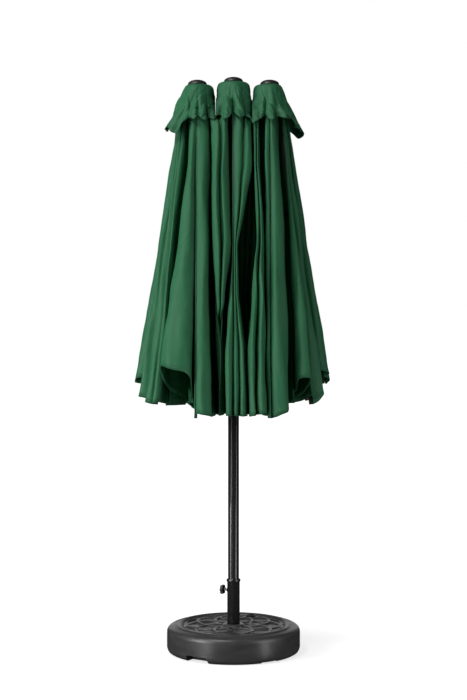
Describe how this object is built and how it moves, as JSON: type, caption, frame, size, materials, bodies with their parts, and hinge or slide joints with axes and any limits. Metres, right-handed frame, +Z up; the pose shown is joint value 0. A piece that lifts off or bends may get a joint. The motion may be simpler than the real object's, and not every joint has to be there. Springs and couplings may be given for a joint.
{
  "type": "patio umbrella with base",
  "caption": "Closed double-hub patio umbrella: crank mast, crossed side bars, hinged ribs and struts, fabric canopy with vent caps, in a round weighted base with a clamp knob.",
  "frame": {"origin": "on the floor under the middle of the base, on the mast's axis", "axes": "+Z up along the mast, +X along the long side of the canopy, towards the right hub; -Y is the front"},
  "size_m": [0.7896, 0.566, 2.442],
  "materials": {
    "canopy_fabric": "dark green woven polyester, dull sheen",
    "mast_steel": "black powder coat, satin",
    "sleeve_steel": "black powder coat, satin",
    "frame_steel": "black powder coat, satin",
    "black_plastic": "moulded, matte",
    "base_plastic": "blow-moulded charcoal plastic, fine texture"
  },
  "bodies": {
    "base": {"base_shell": "base_plastic", "base_sleeve": "sleeve_steel"},
    "clamp": {"clamp_knob": "black_plastic"},
    "filler_cap": {"filler_cap": "black_plastic"},
    "mast_lower": {"mast_lower": "mast_steel"},
    "mast_upper": {"mast_upper": "mast_steel", "crank_housing": "black_plastic", "hub_center": "black_plastic", "finial_center": "black_plastic", "vent_cap_center": "canopy_fabric"},
    "crank": {"crank_handle": "black_plastic"},
    "runner_center": {"runner_center": "black_plastic"},
    "bar_a_right": {"bar_a_right": "frame_steel"},
    "bar_b_right": {"bar_b_right": "frame_steel"},
    "hub_right": {"hub_right": "black_plastic", "finial_right": "black_plastic", "vent_cap_right": "canopy_fabric"},
    "runner_right": {"runner_right": "black_plastic"},
    "bar_a_left": {"bar_a_left": "frame_steel"},
    "bar_b_left": {"bar_b_left": "frame_steel"},
    "hub_left": {"hub_left": "black_plastic", "finial_left": "black_plastic", "vent_cap_left": "canopy_fabric"},
    "runner_left": {"runner_left": "black_plastic"},
    "rib_01": {"rib_01": "frame_steel"},
    "strut_01": {"strut_01": "frame_steel"},
    "panel_01": {"panel_01": "canopy_fabric"},
    "rib_02": {"rib_02": "frame_steel"},
    "strut_02": {"strut_02": "frame_steel"},
    "panel_02": {"panel_02": "canopy_fabric"},
    "rib_03": {"rib_03": "frame_steel"},
    "strut_03": {"strut_03": "frame_steel"},
    "panel_03": {"panel_03": "canopy_fabric"},
    "rib_04": {"rib_04": "frame_steel"},
    "strut_04": {"strut_04": "frame_steel"},
    "panel_04": {"panel_04": "canopy_fabric"},
    "rib_05": {"rib_05": "frame_steel"},
    "strut_05": {"strut_05": "frame_steel"},
    "panel_05": {"panel_05": "canopy_fabric"},
    "rib_06": {"rib_06": "frame_steel"},
    "strut_06": {"strut_06": "frame_steel"},
    "panel_06": {"panel_06": "canopy_fabric"},
    "rib_07": {"rib_07": "frame_steel"},
    "strut_07": {"strut_07": "frame_steel"},
    "panel_07": {"panel_07": "canopy_fabric"},
    "rib_08": {"rib_08": "frame_steel"},
    "strut_08": {"strut_08": "frame_steel"},
    "panel_08": {"panel_08": "canopy_fabric"},
    "rib_09": {"rib_09": "frame_steel"},
    "strut_09": {"strut_09": "frame_steel"},
    "panel_09": {"panel_09": "canopy_fabric"},
    "rib_10": {"rib_10": "frame_steel"},
    "strut_10": {"strut_10": "frame_steel"},
    "panel_10": {"panel_10": "canopy_fabric"},
    "rib_11": {"rib_11": "frame_steel"},
    "strut_11": {"strut_11": "frame_steel"},
    "panel_11": {"panel_11": "canopy_fabric"},
    "rib_12": {"rib_12": "frame_steel"},
    "strut_12": {"strut_12": "frame_steel"},
    "panel_12": {"panel_12": "canopy_fabric"}
  },
  "joints": [
    {"name": "clamp_turn", "type": "hinge", "parent": "base", "child": "clamp", "pos_m": [-0.04568, 0.02034, 0.256], "axis": [-0.9135, 0.4067, 0], "continuous": true},
    {"name": "filler_cap_turn", "type": "hinge", "parent": "base", "child": "filler_cap", "pos_m": [0.075, 0.18, 0.113], "axis": [0, 0, 1], "continuous": true},
    {"name": "mast_turn", "type": "hinge", "parent": "base", "child": "mast_lower", "pos_m": [0, 0, 0.3], "axis": [0, 0, 1], "continuous": true},
    {"name": "mast_lift", "type": "slide", "parent": "mast_lower", "child": "mast_upper", "axis": [0, 0, 1], "range_m": [0, 0.13]},
    {"name": "canopy_open", "type": "hinge", "parent": "mast_upper", "child": "bar_a_right", "pos_m": [0.04, 0, 2.33], "axis": [0, -1, 0], "range_deg": [0, 63.93], "deforming": ["vent_cap_center", "vent_cap_right", "vent_cap_left"]},
    {"name": "bar_b_right_turn", "type": "hinge", "parent": "bar_a_right", "child": "bar_b_right", "pos_m": [0.082, 0, 1.80668], "axis": [0, -1, 0], "range_deg": [-128.86, 1]},
    {"name": "hub_right_turn", "type": "hinge", "parent": "bar_b_right", "child": "hub_right", "pos_m": [0.124, 0, 2.33], "axis": [0, -1, 0], "range_deg": [-1, 64.93]},
    {"name": "runner_right_turn", "type": "hinge", "parent": "bar_a_right", "child": "runner_right", "pos_m": [0.124, 0, 1.28337], "axis": [0, -1, 0], "range_deg": [-64.93, 1]},
    {"name": "bar_a_left_turn", "type": "hinge", "parent": "mast_upper", "child": "bar_a_left", "pos_m": [-0.04, 0, 2.33], "axis": [0, 1, 0], "range_deg": [-1, 64.93]},
    {"name": "bar_b_left_turn", "type": "hinge", "parent": "bar_a_left", "child": "bar_b_left", "pos_m": [-0.082, 0, 1.80668], "axis": [0, 1, 0], "range_deg": [-128.86, 1]},
    {"name": "hub_left_turn", "type": "hinge", "parent": "bar_b_left", "child": "hub_left", "pos_m": [-0.124, 0, 2.33], "axis": [0, 1, 0], "range_deg": [-1, 64.93]},
    {"name": "runner_left_turn", "type": "hinge", "parent": "bar_a_left", "child": "runner_left", "pos_m": [-0.124, 0, 1.28337], "axis": [0, 1, 0], "range_deg": [-64.93, 1]},
    {"name": "runner_center_turn", "type": "hinge", "parent": "bar_b_left", "child": "runner_center", "pos_m": [-0.04, 0, 1.28337], "axis": [0, 1, 0], "range_deg": [-1, 64.93]},
    {"name": "rib_01_turn", "type": "hinge", "parent": "mast_upper", "child": "rib_01", "pos_m": [0, -0.05, 2.385], "axis": [-1, 0, 0], "range_deg": [-1, 64.93]},
    {"name": "strut_01_turn", "type": "hinge", "parent": "rib_01", "child": "strut_01", "pos_m": [0, -0.092, 1.86168], "axis": [-1, 0, 0], "range_deg": [-128.86, 1]},
    {"name": "panel_01_spread", "type": "slide", "parent": "rib_01", "child": "panel_01", "axis": [1, 0, 0], "range_m": [-0.005, 0.89806]},
    {"name": "rib_02_turn", "type": "hinge", "parent": "hub_right", "child": "rib_02", "pos_m": [0.154, -0.05, 2.373], "axis": [-1, 0, 0], "range_deg": [-1, 64.93]},
    {"name": "strut_02_turn", "type": "hinge", "parent": "rib_02", "child": "strut_02", "pos_m": [0.154, -0.092, 1.84968], "axis": [-1, 0, 0], "range_deg": [-128.86, 1]},
    {"name": "panel_02_spread", "type": "hinge", "parent": "rib_02", "child": "panel_02", "pos_m": [0.15917, -0.01247, 2.39642], "axis": [0.3315, -0.8004, -0.4995], "range_deg": [-1, 47.76]},
    {"name": "rib_03_turn", "type": "hinge", "parent": "hub_right", "child": "rib_03", "pos_m": [0.18935, -0.03535, 2.373], "axis": [-0.7071, -0.7071, 0], "range_deg": [-1, 64.93]},
    {"name": "strut_03_turn", "type": "hinge", "parent": "rib_03", "child": "strut_03", "pos_m": [0.21905, -0.06505, 1.84968], "axis": [-0.7071, -0.7071, 0], "range_deg": [-128.86, 1]},
    {"name": "panel_03_spread", "type": "hinge", "parent": "rib_03", "child": "panel_03", "pos_m": [0.16647, -0.00517, 2.39642], "axis": [0.8004, -0.3315, -0.4995], "range_deg": [-1, 47.76]},
    {"name": "rib_04_turn", "type": "hinge", "parent": "hub_right", "child": "rib_04", "pos_m": [0.204, 0, 2.373], "axis": [0, -1, 0], "range_deg": [-1, 64.93]},
    {"name": "strut_04_turn", "type": "hinge", "parent": "rib_04", "child": "strut_04", "pos_m": [0.246, 0, 1.84968], "axis": [0, -1, 0], "range_deg": [-128.86, 1]},
    {"name": "panel_04_spread", "type": "hinge", "parent": "rib_04", "child": "panel_04", "pos_m": [0.16647, 0.00517, 2.39642], "axis": [0.8004, 0.3315, -0.4995], "range_deg": [-1, 47.76]},
    {"name": "rib_05_turn", "type": "hinge", "parent": "hub_right", "child": "rib_05", "pos_m": [0.18935, 0.03535, 2.373], "axis": [0.7071, -0.7071, 0], "range_deg": [-1, 64.93]},
    {"name": "strut_05_turn", "type": "hinge", "parent": "rib_05", "child": "strut_05", "pos_m": [0.21905, 0.06505, 1.84968], "axis": [0.7071, -0.7071, 0], "range_deg": [-128.86, 1]},
    {"name": "panel_05_spread", "type": "hinge", "parent": "rib_05", "child": "panel_05", "pos_m": [0.15917, 0.01247, 2.39642], "axis": [0.3315, 0.8004, -0.4995], "range_deg": [-1, 47.76]},
    {"name": "rib_06_turn", "type": "hinge", "parent": "hub_right", "child": "rib_06", "pos_m": [0.154, 0.05, 2.373], "axis": [1, 0, 0], "range_deg": [-1, 64.93]},
    {"name": "strut_06_turn", "type": "hinge", "parent": "rib_06", "child": "strut_06", "pos_m": [0.154, 0.092, 1.84968], "axis": [1, 0, 0], "range_deg": [-128.86, 1]},
    {"name": "panel_06_spread", "type": "slide", "parent": "rib_06", "child": "panel_06", "axis": [-1, 0, 0], "range_m": [-0.005, 0.89806]},
    {"name": "rib_07_turn", "type": "hinge", "parent": "mast_upper", "child": "rib_07", "pos_m": [0, 0.05, 2.385], "axis": [1, 0, 0], "range_deg": [-1, 64.93]},
    {"name": "strut_07_turn", "type": "hinge", "parent": "rib_07", "child": "strut_07", "pos_m": [0, 0.092, 1.86168], "axis": [1, 0, 0], "range_deg": [-128.86, 1]},
    {"name": "panel_07_spread", "type": "slide", "parent": "rib_07", "child": "panel_07", "axis": [-1, 0, 0], "range_m": [-0.005, 0.89806]},
    {"name": "rib_08_turn", "type": "hinge", "parent": "hub_left", "child": "rib_08", "pos_m": [-0.154, 0.05, 2.373], "axis": [1, 0, 0], "range_deg": [-1, 64.93]},
    {"name": "strut_08_turn", "type": "hinge", "parent": "rib_08", "child": "strut_08", "pos_m": [-0.154, 0.092, 1.84968], "axis": [1, 0, 0], "range_deg": [-128.86, 1]},
    {"name": "panel_08_spread", "type": "hinge", "parent": "rib_08", "child": "panel_08", "pos_m": [-0.15917, 0.01247, 2.39642], "axis": [-0.3315, 0.8004, -0.4995], "range_deg": [-1, 47.76]},
    {"name": "rib_09_turn", "type": "hinge", "parent": "hub_left", "child": "rib_09", "pos_m": [-0.18935, 0.03535, 2.373], "axis": [0.7071, 0.7071, 0], "range_deg": [-1, 64.93]},
    {"name": "strut_09_turn", "type": "hinge", "parent": "rib_09", "child": "strut_09", "pos_m": [-0.21905, 0.06505, 1.84968], "axis": [0.7071, 0.7071, 0], "range_deg": [-128.86, 1]},
    {"name": "panel_09_spread", "type": "hinge", "parent": "rib_09", "child": "panel_09", "pos_m": [-0.16647, 0.00517, 2.39642], "axis": [-0.8004, 0.3315, -0.4995], "range_deg": [-1, 47.76]},
    {"name": "rib_10_turn", "type": "hinge", "parent": "hub_left", "child": "rib_10", "pos_m": [-0.204, 0, 2.373], "axis": [0, 1, 0], "range_deg": [-1, 64.93]},
    {"name": "strut_10_turn", "type": "hinge", "parent": "rib_10", "child": "strut_10", "pos_m": [-0.246, 0, 1.84968], "axis": [0, 1, 0], "range_deg": [-128.86, 1]},
    {"name": "panel_10_spread", "type": "hinge", "parent": "rib_10", "child": "panel_10", "pos_m": [-0.16647, -0.00517, 2.39642], "axis": [-0.8004, -0.3315, -0.4995], "range_deg": [-1, 47.76]},
    {"name": "rib_11_turn", "type": "hinge", "parent": "hub_left", "child": "rib_11", "pos_m": [-0.18935, -0.03535, 2.373], "axis": [-0.7071, 0.7071, 0], "range_deg": [-1, 64.93]},
    {"name": "strut_11_turn", "type": "hinge", "parent": "rib_11", "child": "strut_11", "pos_m": [-0.21905, -0.06505, 1.84968], "axis": [-0.7071, 0.7071, 0], "range_deg": [-128.86, 1]},
    {"name": "panel_11_spread", "type": "hinge", "parent": "rib_11", "child": "panel_11", "pos_m": [-0.15917, -0.01247, 2.39642], "axis": [-0.3315, -0.8004, -0.4995], "range_deg": [-1, 47.76]},
    {"name": "rib_12_turn", "type": "hinge", "parent": "hub_left", "child": "rib_12", "pos_m": [-0.154, -0.05, 2.373], "axis": [-1, 0, 0], "range_deg": [-1, 64.93]},
    {"name": "strut_12_turn", "type": "hinge", "parent": "rib_12", "child": "strut_12", "pos_m": [-0.154, -0.092, 1.84968], "axis": [-1, 0, 0], "range_deg": [-128.86, 1]},
    {"name": "panel_12_spread", "type": "slide", "parent": "rib_12", "child": "panel_12", "axis": [1, 0, 0], "range_m": [-0.005, 0.89806]},
    {"name": "crank_turn", "type": "hinge", "parent": "mast_upper", "child": "crank", "pos_m": [0, -0.046, 1.19], "axis": [0, -1, 0], "range_deg": [-5, 3605]}
  ],
  "couplings": [
    {"joint": "bar_b_right_turn", "follows": "canopy_open", "ratio": -2},
    {"joint": "hub_right_turn", "follows": "canopy_open", "ratio": 1},
    {"joint": "runner_right_turn", "follows": "canopy_open", "ratio": -1},
    {"joint": "bar_a_left_turn", "follows": "canopy_open", "ratio": 1},
    {"joint": "bar_b_left_turn", "follows": "canopy_open", "ratio": -2},
    {"joint": "hub_left_turn", "follows": "canopy_open", "ratio": 1},
    {"joint": "runner_left_turn", "follows": "canopy_open", "ratio": -1},
    {"joint": "runner_center_turn", "follows": "canopy_open", "ratio": 1},
    {"joint": "rib_01_turn", "follows": "canopy_open", "ratio": 1},
    {"joint": "strut_01_turn", "follows": "canopy_open", "ratio": -2},
    {"joint": "panel_01_spread", "follows": "canopy_open", "m_per_rad": 0.80039},
    {"joint": "rib_02_turn", "follows": "canopy_open", "ratio": 1},
    {"joint": "strut_02_turn", "follows": "canopy_open", "ratio": -2},
    {"joint": "panel_02_spread", "follows": "canopy_open", "ratio": 0.73134},
    {"joint": "rib_03_turn", "follows": "canopy_open", "ratio": 1},
    {"joint": "strut_03_turn", "follows": "canopy_open", "ratio": -2},
    {"joint": "panel_03_spread", "follows": "canopy_open", "ratio": 0.73134},
    {"joint": "rib_04_turn", "follows": "canopy_open", "ratio": 1},
    {"joint": "strut_04_turn", "follows": "canopy_open", "ratio": -2},
    {"joint": "panel_04_spread", "follows": "canopy_open", "ratio": 0.73134},
    {"joint": "rib_05_turn", "follows": "canopy_open", "ratio": 1},
    {"joint": "strut_05_turn", "follows": "canopy_open", "ratio": -2},
    {"joint": "panel_05_spread", "follows": "canopy_open", "ratio": 0.73134},
    {"joint": "rib_06_turn", "follows": "canopy_open", "ratio": 1},
    {"joint": "strut_06_turn", "follows": "canopy_open", "ratio": -2},
    {"joint": "panel_06_spread", "follows": "canopy_open", "m_per_rad": 0.80039},
    {"joint": "rib_07_turn", "follows": "canopy_open", "ratio": 1},
    {"joint": "strut_07_turn", "follows": "canopy_open", "ratio": -2},
    {"joint": "panel_07_spread", "follows": "canopy_open", "m_per_rad": 0.80039},
    {"joint": "rib_08_turn", "follows": "canopy_open", "ratio": 1},
    {"joint": "strut_08_turn", "follows": "canopy_open", "ratio": -2},
    {"joint": "panel_08_spread", "follows": "canopy_open", "ratio": 0.73134},
    {"joint": "rib_09_turn", "follows": "canopy_open", "ratio": 1},
    {"joint": "strut_09_turn", "follows": "canopy_open", "ratio": -2},
    {"joint": "panel_09_spread", "follows": "canopy_open", "ratio": 0.73134},
    {"joint": "rib_10_turn", "follows": "canopy_open", "ratio": 1},
    {"joint": "strut_10_turn", "follows": "canopy_open", "ratio": -2},
    {"joint": "panel_10_spread", "follows": "canopy_open", "ratio": 0.73134},
    {"joint": "rib_11_turn", "follows": "canopy_open", "ratio": 1},
    {"joint": "strut_11_turn", "follows": "canopy_open", "ratio": -2},
    {"joint": "panel_11_spread", "follows": "canopy_open", "ratio": 0.73134},
    {"joint": "rib_12_turn", "follows": "canopy_open", "ratio": 1},
    {"joint": "strut_12_turn", "follows": "canopy_open", "ratio": -2},
    {"joint": "panel_12_spread", "follows": "canopy_open", "m_per_rad": 0.80039},
    {"joint": "crank_turn", "follows": "canopy_open", "ratio": 56.311}
  ]
}
